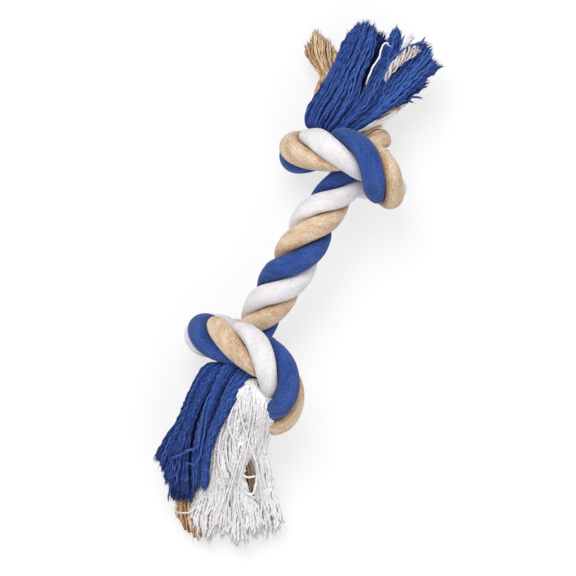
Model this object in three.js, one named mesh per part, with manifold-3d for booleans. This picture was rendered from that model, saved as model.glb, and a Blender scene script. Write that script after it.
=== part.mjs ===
// A rope dog toy: three cotton strands laid into one rope, an overhand knot near each end,
// and the strands' ends frayed into tassels.
// Millimetres. The rope between the knots runs along Y, Z is up from the floor, and a camera
// that looks straight down sees the toy as it is usually pictured.
import * as THREE from 'three';
import Module from 'manifold-3d';

const wasm = await Module();
wasm.setup();
const { Manifold, Mesh: SolidMesh } = wasm;

// Rope sizes.
const ropeDiameter = 22.8;
const strandGap = 0.6;
const endGap = 0.4;
const ringStep = 3.3;
const floorCut = 1.9;

// The strand's section, as shares of the rope's diameter.
const sectionShares = { centre: 0.27, radial: 0.222, across: 0.3, apex: 0.035 };
const outerPoints = 7;
const strandsInRope = 3;
const sectorHalfAngle = Math.PI / strandsInRope;

// The rope's route, from the lower tassel to the upper one, in rope diameters: right, along,
// up, and how thick the rope is there, because a tight knot squeezes what it hides.
const routeShares = [
  [0.55, -1.9, 0.05, 1.0],
  [0.25, -1.35, 0.15, 1.0],
  [0.0, -0.7, 0.15, 0.9],
  [0.4, -0.15, 0.05, 0.8],
  [0.65, 0.2, -0.6, 0.8],
  [0.3, 0.45, -1.25, 0.8],
  [-0.4, 0.5, -1.45, 0.8],
  [-1.05, 0.25, -1.15, 0.8],
  [-1.3, 0.05, -0.45, 0.93],
  [-1.0, 0.1, 0.2, 1.0],
  [-0.5, 0.3, 0.55, 1.0],
  [-0.05, 0.4, 0.75, 1.0],
  [0.4, 0.35, 0.85, 1.0],
  [0.85, 0.15, 0.8, 1.0],
  [1.15, -0.2, 0.5, 0.93],
  [1.3, -0.65, 0.0, 0.8],
  [1.0, -0.85, -0.5, 0.8],
  [0.35, -0.7, -0.85, 0.8],
  [-0.25, -0.3, -0.75, 0.8],
  [-0.3, 0.3, -0.5, 0.8],
  [-0.3, 0.95, -0.4, 0.9],
  [-0.35, 1.55, -0.25, 1.04],
  [-0.3, 2.25, -0.1, 1.08],
  [-0.35, 3.0, 0.05, 1.08],
  [-0.45, 3.65, 0.05, 1.06],
  [-0.35, 4.3, 0.0, 0.9],
  [-0.25, 5.0, 0.05, 0.8],
  [-0.05, 5.7, -0.25, 0.8],
  [-0.3, 5.95, -1.1, 0.8],
  [-0.8, 5.75, -1.35, 0.8],
  [-1.25, 5.2, -1.45, 0.8],
  [-1.6, 4.75, -1.0, 0.93],
  [-1.6, 4.7, -0.15, 1.0],
  [-1.15, 5.05, 0.4, 1.0],
  [-0.75, 5.3, 0.8, 1.0],
  [-0.25, 5.4, 0.9, 1.0],
  [0.25, 5.25, 0.85, 1.0],
  [0.5, 5.05, 0.6, 0.93],
  [0.7, 5.05, 0.05, 0.8],
  [0.55, 5.15, -0.65, 0.8],
  [0.0, 4.95, -0.95, 0.8],
  [-0.5, 4.9, -0.9, 0.8],
  [-1.05, 5.45, -0.45, 0.8],
  [-1.0, 5.9, -0.35, 0.9],
  [-1.05, 6.5, -0.2, 1.0],
  [-1.05, 7.05, -0.1, 1.0],
];
// The middle of the rope between the knots, as a place on the list of points above.
const middlePlace = 22.45;
// How many turns the strands have made from that middle, at places on the list.
const layTurns = [
  [1.6, -5.655],
  [9.5, -3.055],
  [11.2, -2.71],
  [14, -2.18],
  [20.3, -0.62],
  [22.45, 0],
  [25, 0.72],
  [32, 2.42],
  [33.7, 2.8],
  [36, 3.225],
  [43.3, 4.43],
];
// Where each length of strand begins and ends, as places on the list of points.
const lengths = [
  { name: 'lower_knot', from: 2.45, to: 20.7 },
  { name: 'middle', from: 20.7, to: 24.6 },
  { name: 'upper_knot', from: 24.6, to: 42.65 },
];
const strands = [
  { name: 'blue', step: 0, colour: 0x39509a },
  { name: 'white', step: 1, colour: 0xe9e6e6 },
  { name: 'tan', step: 2, colour: 0xd9bd9a },
];
// Tassel outlines were read off the photograph: pixel coordinates, with the scale that makes
// the rope between the knots as many pixels thick as it is there.
const pixelShare = 1 / 44;
const pixelSize = ropeDiameter * pixelShare;
const photoOriginPixels = { x: 247, y: 365 };
const photoTurn = THREE.MathUtils.degToRad(32);
// Each station of a tassel has a left and a right edge in pixels, and its middle's height and its
// thickness in rope diameters, counted from the height of the rope's middle.
const tassels = [
  {
    name: 'upper_blue_tassel',
    strand: 'blue',
    edgePixels: [
      [318, 112, 364, 130],
      [315, 92, 386, 116],
      [332, 62, 402, 104],
      [344, 38, 424, 88],
      [358, 24, 436, 68],
    ],
    heightShares: [0.06, 0.12, -0.1, -0.35, -0.62],
    thicknessShares: [0.42, 0.6, 0.64, 0.6, 0.5],
  },
  {
    name: 'upper_tan_tassel',
    strand: 'tan',
    edgePixels: [
      [318, 104, 338, 112],
      [315, 78, 340, 84],
      [308, 52, 338, 58],
      [310, 32, 333, 34],
    ],
    heightShares: [-0.5, -0.85, -1.25, -1.55],
    thicknessShares: [0.36, 0.38, 0.34, 0.3],
  },
  {
    name: 'upper_white_tassel',
    strand: 'white',
    edgePixels: [
      [353, 114, 371, 126],
      [368, 90, 396, 110],
      [380, 64, 412, 90],
      [394, 43, 422, 62],
    ],
    heightShares: [-0.48, -0.82, -1.24, -1.54],
    thicknessShares: [0.34, 0.38, 0.36, 0.3],
  },
  {
    name: 'lower_blue_tassel',
    strand: 'blue',
    edgePixels: [
      [200, 378, 221, 393],
      [183, 402, 217, 422],
      [164, 438, 206, 452],
      [158, 466, 202, 477],
      [166, 492, 198, 492],
    ],
    heightShares: [0.42, 0.15, -0.25, -0.58, -0.9],
    thicknessShares: [0.44, 0.56, 0.54, 0.5, 0.4],
  },
  {
    name: 'lower_white_tassel',
    strand: 'white',
    edgePixels: [
      [247, 408, 258, 410],
      [229, 430, 258, 431],
      [216, 464, 268, 465],
      [210, 500, 272, 499],
      [200, 534, 278, 530],
    ],
    heightShares: [0.38, -0.05, -0.65, -1.2, -1.5],
    thicknessShares: [0.38, 0.54, 0.54, 0.46, 0.38],
  },
  {
    name: 'lower_tan_tassel',
    strand: 'tan',
    edgePixels: [
      [216, 400, 233, 413],
      [206, 428, 230, 436],
      [190, 463, 213, 470],
      [176, 500, 199, 504],
      [172, 524, 190, 534],
    ],
    heightShares: [-0.36, -0.74, -1.18, -1.47, -1.56],
    thicknessShares: [0.26, 0.3, 0.3, 0.28, 0.26],
  },
];
const tasselSides = 24;
const tasselLobes = 8;
const tasselRings = 8;
const lobeShare = 0.1;
const raggedShare = 0.2;
const tasselStartShare = 0.155;

// One point of the route's cubic spline, at a place such as 12.5 between points 12 and 13.
function routeAt(place) {
  const last = routeShares.length - 3;
  const span = Math.min(Math.max(Math.floor(place) - 1, 0), last - 1);
  const t = place - 1 - span;
  const weights = [
    (1 - t) ** 3 / 6,
    (3 * t ** 3 - 6 * t ** 2 + 4) / 6,
    (-3 * t ** 3 + 3 * t ** 2 + 3 * t + 1) / 6,
    t ** 3 / 6,
  ];
  const mixed = [0, 1, 2, 3].map((axis) =>
    weights.reduce((sum, weight, k) => sum + weight * routeShares[span + k][axis], 0),
  );
  return {
    point: new THREE.Vector3(mixed[0], mixed[1], mixed[2]).multiplyScalar(ropeDiameter),
    diameter: mixed[3] * ropeDiameter,
  };
}

// The route as many close stations, each with its place, length so far and frame.
function makeRoute() {
  const perSpan = 40;
  const stations = [];
  const spans = routeShares.length - 3;
  for (let k = 0; k <= spans * perSpan; k += 1) {
    const place = 1 + k / perSpan;
    stations.push({ place, ...routeAt(place) });
  }
  stations.forEach((station, k) => {
    const before = stations[Math.max(k - 1, 0)].point;
    const after = stations[Math.min(k + 1, stations.length - 1)].point;
    station.along = after.clone().sub(before).normalize();
    station.length = k === 0 ? 0 : stations[k - 1].length + station.point.distanceTo(before);
  });
  const middle = Math.round((middlePlace - 1) * perSpan);
  const start = stations[middle];
  const up = new THREE.Vector3(0, 0, 1);
  start.normal = up.clone().addScaledVector(start.along, -up.dot(start.along)).normalize();
  for (let k = middle + 1; k < stations.length; k += 1) carryFrame(stations[k - 1], stations[k]);
  for (let k = middle - 1; k >= 0; k -= 1) carryFrame(stations[k + 1], stations[k]);
  stations.forEach((station) => {
    station.side = station.along.clone().cross(station.normal);
  });
  return stations;
}

// Carries a frame from one station to the next without turning it about the route.
function carryFrame(from, to) {
  const step = to.point.clone().sub(from.point);
  const stepSquared = step.lengthSq();
  const mirroredNormal = from.normal.clone().addScaledVector(step, (-2 * step.dot(from.normal)) / stepSquared);
  const mirroredAlong = from.along.clone().addScaledVector(step, (-2 * step.dot(from.along)) / stepSquared);
  const change = to.along.clone().sub(mirroredAlong);
  const changeSquared = change.lengthSq();
  to.normal = mirroredNormal.addScaledVector(change, (-2 * change.dot(mirroredNormal)) / changeSquared);
}

const route = makeRoute();
// The knots press a narrow flat into the rope's lowest bends, which is where the floor is.
const lowest = Math.min(...route.map(({ point, diameter }) => point.z - diameter / 2));
const floorLevel = lowest + floorCut;

// A station between two close ones, found by place.
function stationAt(place) {
  const perSpan = 40;
  const exact = Math.min(Math.max((place - 1) * perSpan, 0), route.length - 1.001);
  const low = Math.floor(exact);
  const t = exact - low;
  const a = route[low];
  const b = route[low + 1];
  const mix = (key) => a[key].clone().lerp(b[key], t);
  return {
    place,
    point: mix('point'),
    along: mix('along').normalize(),
    normal: mix('normal').normalize(),
    side: mix('side').normalize(),
    diameter: a.diameter + (b.diameter - a.diameter) * t,
    length: a.length + (b.length - a.length) * t,
  };
}

function placeAtLength(length) {
  let k = 1;
  while (k < route.length - 1 && route[k].length < length) k += 1;
  const a = route[k - 1];
  const b = route[k];
  return a.place + ((b.place - a.place) * (length - a.length)) / (b.length - a.length);
}

// Turns of the lay at a length along the rope: a smooth curve through the table that never
// runs backwards.
const layCurve = (() => {
  const s = layTurns.map(([place]) => stationAt(place).length);
  const v = layTurns.map(([, turns]) => turns);
  const slope = v.slice(1).map((value, k) => (value - v[k]) / (s[k + 1] - s[k]));
  const rate = v.map((value, k) => {
    if (k === 0) return slope[0];
    if (k === v.length - 1) return slope[slope.length - 1];
    return 2 / (1 / slope[k - 1] + 1 / slope[k]);
  });
  return { s, v, rate };
})();

function turnsAt(length) {
  const { s, v, rate } = layCurve;
  if (length <= s[0]) return v[0] + (length - s[0]) * rate[0];
  const last = s.length - 1;
  if (length >= s[last]) return v[last] + (length - s[last]) * rate[last];
  let k = 0;
  while (length > s[k + 1]) k += 1;
  const width = s[k + 1] - s[k];
  const t = (length - s[k]) / width;
  return (
    v[k] * (2 * t ** 3 - 3 * t ** 2 + 1) +
    rate[k] * width * (t ** 3 - 2 * t ** 2 + t) +
    v[k + 1] * (-2 * t ** 3 + 3 * t ** 2) +
    rate[k + 1] * width * (t ** 3 - t ** 2)
  );
}

// The strand's section: the rope's outside, then in along one flank to the rope's middle and
// out along the other. x points out of the rope, y along its girth.
function strandSection(diameter) {
  const centre = sectionShares.centre * diameter;
  const radial = sectionShares.radial * diameter;
  const across = sectionShares.across * diameter;
  const flank = (x) => (x * Math.sin(sectorHalfAngle) - strandGap / 2) / Math.cos(sectorHalfAngle);
  let low = 0;
  let high = Math.PI;
  for (let k = 0; k < 30; k += 1) {
    const q = (low + high) / 2;
    if (across * Math.sin(q) < flank(centre + radial * Math.cos(q))) low = q;
    else high = q;
  }
  const points = [];
  for (let k = 0; k <= outerPoints; k += 1) {
    const q = low * ((2 * k) / outerPoints - 1);
    points.push([centre + radial * Math.cos(q), across * Math.sin(q)]);
  }
  const edge = points[points.length - 1];
  const apex = [sectionShares.apex * diameter + strandGap / 2, 0];
  points.push([(edge[0] + apex[0]) / 2, edge[1] / 2]);
  points.push(apex);
  points.push([(edge[0] + apex[0]) / 2, -edge[1] / 2]);
  return points;
}
const firstInnerPoint = outerPoints + 2;

// A closed mesh from rings of points, with a point in the middle of each end. From the ring's
// point number flipFrom on, the quads are split the other way, so that facing flanks agree.
function meshFromRings(rings, flipFrom) {
  const count = rings[0].length;
  const points = rings.flat();
  const faces = [];
  for (let i = 0; i + 1 < rings.length; i += 1) {
    for (let j = 0; j < count; j += 1) {
      const next = (j + 1) % count;
      const a = i * count + j;
      const b = i * count + next;
      const c = a + count;
      const d = b + count;
      if (j < flipFrom) faces.push([a, b, d], [a, d, c]);
      else faces.push([a, b, c], [b, d, c]);
    }
  }
  [0, rings.length - 1].forEach((i) => {
    const middle = new THREE.Vector3();
    rings[i].forEach((point) => middle.addScaledVector(point, 1 / count));
    points.push(middle);
    const hub = points.length - 1;
    for (let j = 0; j < count; j += 1) {
      const a = i * count + j;
      const b = i * count + ((j + 1) % count);
      faces.push(i === 0 ? [hub, b, a] : [hub, a, b]);
    }
  });
  return { points, faces };
}

// Turns the faces outwards and cuts the body flat at the floor.
function solidFrom({ points, faces }) {
  const volume = faces.reduce(
    (sum, [a, b, c]) => sum + points[a].dot(points[b].clone().cross(points[c])),
    0,
  );
  const outward = volume < 0 ? faces.map(([a, b, c]) => [a, c, b]) : faces;
  const solid = new Manifold(
    new SolidMesh({
      numProp: 3,
      vertProperties: new Float32Array(points.flatMap((point) => point.toArray())),
      triVerts: new Uint32Array(outward.flat()),
    }),
  );
  return solid.translate([0, 0, -floorLevel]).trimByPlane([0, 0, 1], 0);
}

// Gives a solid to three.js, moved sideways.
function geometryOf(solid, shift) {
  const mesh = solid.translate([shift.x, shift.y, 0]).getMesh();
  const geometry = new THREE.BufferGeometry();
  geometry.setAttribute('position', new THREE.BufferAttribute(new Float32Array(mesh.vertProperties), 3));
  geometry.setIndex(new THREE.BufferAttribute(new Uint32Array(mesh.triVerts), 1));
  geometry.computeVertexNormals();
  return geometry;
}

// One ring of a strand, at a station of the route.
function strandRing(station, step) {
  const angle = 2 * Math.PI * (turnsAt(station.length) + step / strandsInRope);
  const out = station.normal.clone().multiplyScalar(Math.cos(angle));
  out.addScaledVector(station.side, Math.sin(angle));
  const girth = station.side.clone().multiplyScalar(Math.cos(angle));
  girth.addScaledVector(station.normal, -Math.sin(angle));
  return strandSection(station.diameter).map(([x, y]) =>
    station.point.clone().addScaledVector(out, x).addScaledVector(girth, y),
  );
}

function strandSolid(strand, length) {
  const start = stationAt(length.from).length + endGap / 2;
  const end = stationAt(length.to).length - endGap / 2;
  const count = Math.round((end - start) / ringStep);
  const rings = [];
  for (let k = 0; k <= count; k += 1) {
    const along = start + ((end - start) * k) / count;
    rings.push(strandRing(stationAt(placeAtLength(along)), strand.step));
  }
  return solidFrom(meshFromRings(rings, firstInnerPoint));
}

// A point of the photograph, at a height counted in rope diameters from the rope's middle.
function fromPhoto(x, y, height) {
  const right = (x - photoOriginPixels.x) * pixelSize;
  const above = (photoOriginPixels.y - y) * pixelSize;
  return new THREE.Vector3(
    right * Math.cos(photoTurn) - above * Math.sin(photoTurn),
    right * Math.sin(photoTurn) + above * Math.cos(photoTurn),
    height * ropeDiameter,
  );
}

// A tassel: the strand's end as a round root, which opens into a flat, ridged fan of yarns
// with a ragged end.
function tasselSolid(tassel) {
  const upper = tassel.name.startsWith('upper');
  const root = stationAt(upper ? lengths[2].to : lengths[0].from);
  const outward = root.along.clone().multiplyScalar(upper ? 1 : -1);
  const strand = strands.find(({ name }) => name === tassel.strand);
  const angle = 2 * Math.PI * (turnsAt(root.length) + strand.step / strandsInRope);
  const centre = root.point.clone().addScaledVector(outward, endGap / 2);
  centre.addScaledVector(root.normal, Math.cos(angle) * sectionShares.centre * root.diameter);
  centre.addScaledVector(root.side, Math.sin(angle) * sectionShares.centre * root.diameter);
  const rootRadius = tasselStartShare * root.diameter;
  const up = new THREE.Vector3(0, 0, 1);
  const rightward = outward.clone().cross(up).normalize().multiplyScalar(upper ? 1 : -1);
  const thick = up.clone().addScaledVector(outward, -up.dot(outward)).normalize();
  const stations = [
    {
      centre,
      across: rightward.multiplyScalar(rootRadius),
      through: thick.multiplyScalar(rootRadius),
    },
    ...tassel.edgePixels.map(([leftX, leftY, rightX, rightY], k) => {
      const left = fromPhoto(leftX, leftY, tassel.heightShares[k]);
      const right = fromPhoto(rightX, rightY, tassel.heightShares[k]);
      return {
        centre: left.clone().add(right).multiplyScalar(0.5),
        across: right.clone().sub(left).multiplyScalar(0.5),
        through: up.clone().multiplyScalar((tassel.thicknessShares[k] * ropeDiameter) / 2),
      };
    }),
  ];
  const curves = ['centre', 'across', 'through'].map(
    (key) => new THREE.CatmullRomCurve3(stations.map((station) => station[key]), false, 'centripetal'),
  );
  const tip = stations[stations.length - 1];
  const beforeTip = stations[stations.length - 2];
  const reach = tip.centre.clone().sub(beforeTip.centre);
  const rings = [];
  for (let k = 0; k <= tasselRings; k += 1) {
    const t = k / tasselRings;
    const [middle, across, through] = curves.map((curve) => {
      const place = t * (stations.length - 1);
      const span = Math.min(Math.floor(place), stations.length - 2);
      return curve.getPoint((span + (place - span)) / (stations.length - 1));
    });
    const ring = [];
    for (let j = 0; j < tasselSides; j += 1) {
      const q = (2 * Math.PI * j) / tasselSides;
      const ridge = k === 0 ? 1 : 1 + lobeShare * Math.cos(tasselLobes * q + 2 * t);
      const point = middle.clone();
      point.addScaledVector(across, Math.cos(q) * ridge);
      point.addScaledVector(through, Math.sin(q) * ridge);
      if (k === tasselRings) {
        const ragged = raggedShare * Math.cos(tasselLobes * q) * Math.cos(3 * q + 1);
        point.addScaledVector(reach, ragged);
      }
      ring.push(point);
    }
    rings.push(ring);
  }
  return solidFrom(meshFromRings(rings, tasselSides));
}

const pieces = [];
lengths.forEach((length) => {
  strands.forEach((strand) => {
    pieces.push({
      name: `${length.name}_${strand.name}_strand`,
      colour: strand.colour,
      solid: strandSolid(strand, length),
    });
  });
});
tassels.forEach((tassel) => {
  const { colour } = strands.find(({ name }) => name === tassel.strand);
  pieces.push({ name: tassel.name, colour, solid: tasselSolid(tassel) });
});

// The toy's middle goes over the origin.
const box = new THREE.Box3();
pieces.forEach(({ solid }) => {
  const { min, max } = solid.boundingBox();
  box.expandByPoint(new THREE.Vector3(...min));
  box.expandByPoint(new THREE.Vector3(...max));
});
const shift = box.getCenter(new THREE.Vector3()).negate();

const group = new THREE.Group();
group.name = 'rope_dog_toy';
pieces.forEach(({ name, colour, solid }) => {
  const material = new THREE.MeshStandardMaterial({ color: colour, roughness: 0.95, metalness: 0 });
  material.name = name;
  const mesh = new THREE.Mesh(geometryOf(solid, shift), material);
  mesh.name = name;
  group.add(mesh);
});

export default group;
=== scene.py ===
import logging
import math
from dataclasses import dataclass, field
from enum import Enum
from typing import Sequence

import bpy
import numpy as np
from bpy.types import ID, Material, Node, NodeSocket, NodeTree, Object, World
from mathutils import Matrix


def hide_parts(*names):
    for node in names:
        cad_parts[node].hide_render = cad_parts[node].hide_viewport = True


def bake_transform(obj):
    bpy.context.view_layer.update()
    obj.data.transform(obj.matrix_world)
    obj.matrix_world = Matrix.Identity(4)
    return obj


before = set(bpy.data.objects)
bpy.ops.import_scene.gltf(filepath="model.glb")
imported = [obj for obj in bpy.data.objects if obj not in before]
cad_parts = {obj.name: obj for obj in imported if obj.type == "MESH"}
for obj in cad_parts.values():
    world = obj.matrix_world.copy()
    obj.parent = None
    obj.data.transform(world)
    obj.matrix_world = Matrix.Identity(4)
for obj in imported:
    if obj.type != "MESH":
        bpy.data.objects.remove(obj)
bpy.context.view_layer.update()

LOG = logging.getLogger("rope_dog_toy")
MM = 0.001
Array = np.ndarray
Rng = np.random.Generator
Pixel = tuple[float, float]
Point = tuple[float, float, float]

# Rope sizes in millimetres, as the CAD model has them, and the photograph's scale.
ROPE_DIAMETER = 22.8
ROPE_PIXELS = 44
PIXEL = ROPE_DIAMETER / ROPE_PIXELS
# Half a strand's width, as a share of the rope's thickness.
ACROSS_SHARE = 0.3
# How far round its section, from the seam, a strand's crown lies.
CROWN_MM = math.pi * ACROSS_SHARE * ROPE_DIAMETER
# From the route's own numbers to the frame: the toy's middle is over the origin, and the
# lowest bend is pressed flat on the floor.
ROUTE_SHIFT = (2.783, -45.731, 38.953)
PHOTO_ORIGIN = (247, 365)
PHOTO_TURN = math.radians(32)
# Where the rope's bend between the knots begins and ends, along the route.
BEND_START_MM = 286.0
BEND_END_MM = 340.0
# How far the thinnest fibres stay above the floor.
FLOOR_GAP_MM = 0.02
UP = np.array([0.0, 0.0, 1.0])


class Dye(Enum):
    """The three colours of cotton in the rope, in the order they are laid."""

    BLUE = 0
    WHITE = 1
    TAN = 2

    @property
    def word(self) -> str:
        """The colour's name as the nodes spell it."""
        return self.name.lower()


class RopeEnd(Enum):
    """The two ends of the rope, named by where the photograph has them."""

    LOWER = "lower"
    UPPER = "upper"
# Where each tassel's yarns leave their strands, as a place on the route's list of points.
ROOT_PLACES = {RopeEnd.UPPER: 42.1, RopeEnd.LOWER: 3.05}
# The yarns' crimp: each wave's length in millimetres, its share of the depth, and whether
# each yarn has its own or the yarns of a tuft share it.
CRIMP_WAVES = ((27.0, 1.0, False), (12.0, 0.6, False), (7.0, 1.0, True))


def linear(hex_colour: str) -> tuple[float, float, float, float]:
    """Turn an sRGB hex colour into the linear one that a shader socket takes.

    Args:
        hex_colour: Six hex digits after a hash.

    Returns:
        Red, green, blue and an alpha of one.
    """
    channels = [int(hex_colour[k : k + 2], 16) / 255 for k in (1, 3, 5)]
    toe = 0.04045
    red, green, blue = (
        c / 12.92 if c <= toe else ((c + 0.055) / 1.055) ** 2.4 for c in channels
    )
    return red, green, blue, 1.0


def place_object(name: str, data: ID) -> Object:
    """Add an object to the scene.

    Args:
        name: Its name.
        data: Its mesh, lamp or camera.

    Returns:
        The object.
    """
    item = bpy.data.objects.new(name, data)
    bpy.context.scene.collection.objects.link(item)
    return item


def empty_tree(owner: Material | World) -> NodeTree:
    """Give a material or a world an empty node tree.

    Args:
        owner: The material or the world.

    Returns:
        Its node tree.
    """
    owner.use_nodes = True
    owner.node_tree.nodes.clear()
    return owner.node_tree


def add_node(
    tree: NodeTree, kind: str, settings: dict[str, object] | None = None, **links: object
) -> Node:
    """Add a shader node, set it up and link its inputs.

    Args:
        tree: The node tree.
        kind: The node's type after the word ShaderNode, such as Bump.
        settings: Properties of the node itself.
        **links: Each input by name, spaces as underscores, or i and a number. A socket is
            linked, and anything else is the input's value.

    Returns:
        The new node.
    """
    node = tree.nodes.new(f"ShaderNode{kind}")
    for key, value in (settings or {}).items():
        setattr(node, key, value)
    for key, value in links.items():
        is_number = key[0] == "i" and key[1:].isdigit()
        socket = node.inputs[int(key[1:]) if is_number else key.replace("_", " ")]
        if isinstance(value, NodeSocket):
            tree.links.new(value, socket)
        else:
            socket.default_value = value
    return node


def ramp(
    tree: NodeTree, factor: NodeSocket, stops: Sequence[tuple[float, str]]
) -> NodeSocket:
    """Turn a factor into a colour through a colour ramp.

    Args:
        tree: The node tree.
        factor: What picks the colour.
        stops: Each stop's place and sRGB hex colour.

    Returns:
        The ramp's colour.
    """
    node = add_node(tree, "ValToRGB", Fac=factor)
    elements = node.color_ramp.elements
    while len(elements) < len(stops):
        elements.new(0.5)
    for element, (place, colour) in zip(elements, stops):
        element.position = place
        element.color = linear(colour)
    return node.outputs["Color"]


@dataclass(frozen=True)
class Cotton:
    """Dyed cotton yarn: matt, with a soft sheen from the fibres that stand off it."""

    dye: Dye
    shadow: str
    body: str
    light: str
    yarn_shadow: str
    yarn_body: str
    yarn_light: str
    # What the eye sees on a laid strand, and how strongly each thing changes its shade.
    fibre_mm: float = 0.75
    fibre_length_mm: float = 4.0
    fibre_slant_deg: float = 38.0
    speckle_mm: float = 0.9
    speckle_share: float = 0.6
    blotch_mm: float = 9.0
    blotch_share: float = 0.35
    # The grooves' reach from the crown, and how dark the painted shade in them is.
    groove_mm: tuple[float, float] = (7.5, 12.5)
    groove_painted_shade: float = 0.1
    strand_bump_mm: float = 0.5
    # The same on a loose yarn and in the gaps between yarns.
    fleck_mm: float = 3.5
    thread_mm: float = 0.4
    fleck_share: float = 0.8
    yarn_bump_mm: float = 0.12
    gap_mm: float = 1.2
    # The range of painted shade from the bottom of a gap to the top of a yarn, the part of
    # it that darkens, and how much darker all of it is.
    gap_depth: float = 0.6
    deep_share: float = 0.6
    gap_shade: float = 0.15

    def _start(self, look: str) -> tuple[Material, NodeTree, NodeSocket]:
        """Start a cotton material.

        Args:
            look: What the cotton is like, as the material's name says it.

        Returns:
            The material, its node tree, and each point's place along and round the yarn,
            in millimetres.
        """
        material = bpy.data.materials.new(f"{look}_{self.dye.word}_cotton")
        tree = empty_tree(material)
        return material, tree, add_node(tree, "UVMap", {"uv_map": "lay_mm"}).outputs["UV"]

    def _principled(
        self, tree: NodeTree, colour: NodeSocket, height: NodeSocket, depth_mm: float
    ) -> None:
        """Finish a cotton material from its colour and its bump.

        Args:
            tree: The material's node tree.
            colour: The base colour.
            height: The bump's height, from 0 to 1.
            depth_mm: How deep the bump is.
        """
        bump = add_node(tree, "Bump", Height=height, Distance=depth_mm * MM, Strength=1.0)
        shader = add_node(
            tree, "BsdfPrincipled", Base_Color=colour, Roughness=0.92, IOR=1.5,
            Specular_IOR_Level=0.2, Sheen_Weight=0.12, Sheen_Roughness=0.5,
            Normal=bump.outputs["Normal"],
        )
        add_node(tree, "OutputMaterial", Surface=shader.outputs["BSDF"])

    def brushed_strand(self) -> Material:
        """Make the brushed cotton of a laid strand.

        Its yarns are felted together, so the eye sees a fine slanted grain and a mottled
        colour, not single threads. Shade is painted on where it dips into the rope's grooves.

        Returns:
            The material.
        """
        material, tree, lay = self._start("brushed")
        # Cotton fibres are 0.02 mm thick, far too fine to show: the grain is drawn 0.75 mm wide.
        slanted = add_node(
            tree, "Mapping", {"vector_type": "POINT"}, Vector=lay,
            Rotation=(0.0, 0.0, math.radians(self.fibre_slant_deg)),
            Scale=(1 / self.fibre_length_mm, 1 / self.fibre_mm, 1.0),
        ).outputs["Vector"]
        grain, speckle, blotch = (
            add_node(
                tree, "TexNoise", {"noise_dimensions": "2D"},
                Vector=vector, Scale=scale, Detail=detail, Roughness=roughness,
            ).outputs["Fac"]
            for vector, scale, detail, roughness in (
                (slanted, 1.0, 3.0, 0.6),
                (lay, 1 / self.speckle_mm, 3.0, 0.7),
                (lay, 1 / self.blotch_mm, 2.0, 0.5),
            )
        )
        fine = add_node(tree, "Mix", i0=self.speckle_share, i2=grain, i3=speckle).outputs[0]
        blotched = add_node(
            tree, "Math", {"operation": "MULTIPLY_ADD"}, i0=blotch, i1=self.blotch_share, i2=fine
        ).outputs[0]
        # Painted shade: the strand is drawn darker where it dips into the rope's grooves.
        around = add_node(tree, "SeparateXYZ", Vector=lay).outputs["Y"]
        past_crown = add_node(
            tree, "Math", {"operation": "SUBTRACT"}, i0=around, i1=CROWN_MM
        ).outputs[0]
        off_crown = add_node(tree, "Math", {"operation": "ABSOLUTE"}, i0=past_crown).outputs[0]
        near, far = self.groove_mm
        groove_shade_mask = add_node(
            tree, "MapRange", {"interpolation_type": "SMOOTHSTEP"},
            Value=off_crown, From_Min=near, From_Max=far,
        ).outputs["Result"]
        shade = add_node(
            tree, "Math", {"operation": "MULTIPLY_ADD"},
            i0=groove_shade_mask, i1=-self.groove_painted_shade, i2=blotched,
        ).outputs[0]
        stops = ((0.5, self.shadow), (0.68, self.body), (0.86, self.light))
        self._principled(tree, ramp(tree, shade, stops), fine, self.strand_bump_mm)
        return material

    def loose_yarn(self) -> Material:
        """Make the loose yarn of a tassel.

        Each yarn took the dye a little differently, and its fibres lie along it as fine
        flecks. Shade is painted into the colour where yarns lie against each other, and
        by each yarn's tone.

        Returns:
            The material.
        """
        material, tree, lay = self._start("loose")
        tone = add_node(tree, "Attribute", {"attribute_name": "tone"}).outputs["Fac"]
        # Fibres of 0.02 mm are drawn as threads of 0.4 mm, so that they show.
        drawn_out = add_node(
            tree, "Mapping", {"vector_type": "POINT"}, Vector=lay,
            Scale=(1 / self.fleck_mm, 1 / self.thread_mm, 1.0),
        ).outputs["Vector"]
        fibres = add_node(
            tree, "TexNoise", {"noise_dimensions": "2D"},
            Vector=drawn_out, Scale=1.0, Detail=2.0, Roughness=0.6,
        ).outputs["Fac"]
        # Painted shade: the colour is drawn darker where the yarns lie against each other
        # and shade each other.
        open_sky = add_node(
            tree, "AmbientOcclusion", {"samples": 6, "only_local": True},
            Distance=self.gap_mm * MM,
        ).outputs["AO"]
        depth = add_node(
            tree, "MapRange", Value=open_sky, From_Min=0.2, From_Max=0.9,
            To_Min=-self.deep_share * self.gap_depth - self.gap_shade,
            To_Max=(1 - self.deep_share) * self.gap_depth - self.gap_shade,
        ).outputs["Result"]
        lit = add_node(tree, "Math", {"operation": "ADD"}, i0=tone, i1=depth).outputs[0]
        shade = add_node(
            tree, "Math", {"operation": "MULTIPLY_ADD"}, i0=fibres, i1=self.fleck_share, i2=lit
        ).outputs[0]
        stops = ((0.3, self.yarn_shadow), (0.67, self.yarn_body), (1.0, self.yarn_light))
        self._principled(tree, ramp(tree, shade, stops), fibres, self.yarn_bump_mm)
        return material


COTTONS = {
    Dye.BLUE: Cotton(
        Dye.BLUE, "#223a79", "#325198", "#4868b2", "#0e2052", "#213c82", "#456ab8", gap_depth=0.42
    ),
    Dye.WHITE: Cotton(
        Dye.WHITE, "#dcd5d9", "#f2eff1", "#faf8f8", "#c8bcbc", "#faf4f5", "#fffdfd"
    ),
    Dye.TAN: Cotton(
        Dye.TAN, "#bb946b", "#e1c6a9", "#f8e5cc", "#86603c", "#c8a27c", "#f2d6b4"
    ),
}


def paired(first: Array, second: Array) -> Array:
    """Join two arrays of numbers into one of pairs, repeating what is smaller."""
    return np.stack(np.broadcast_arrays(first, second), axis=-1)


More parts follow.
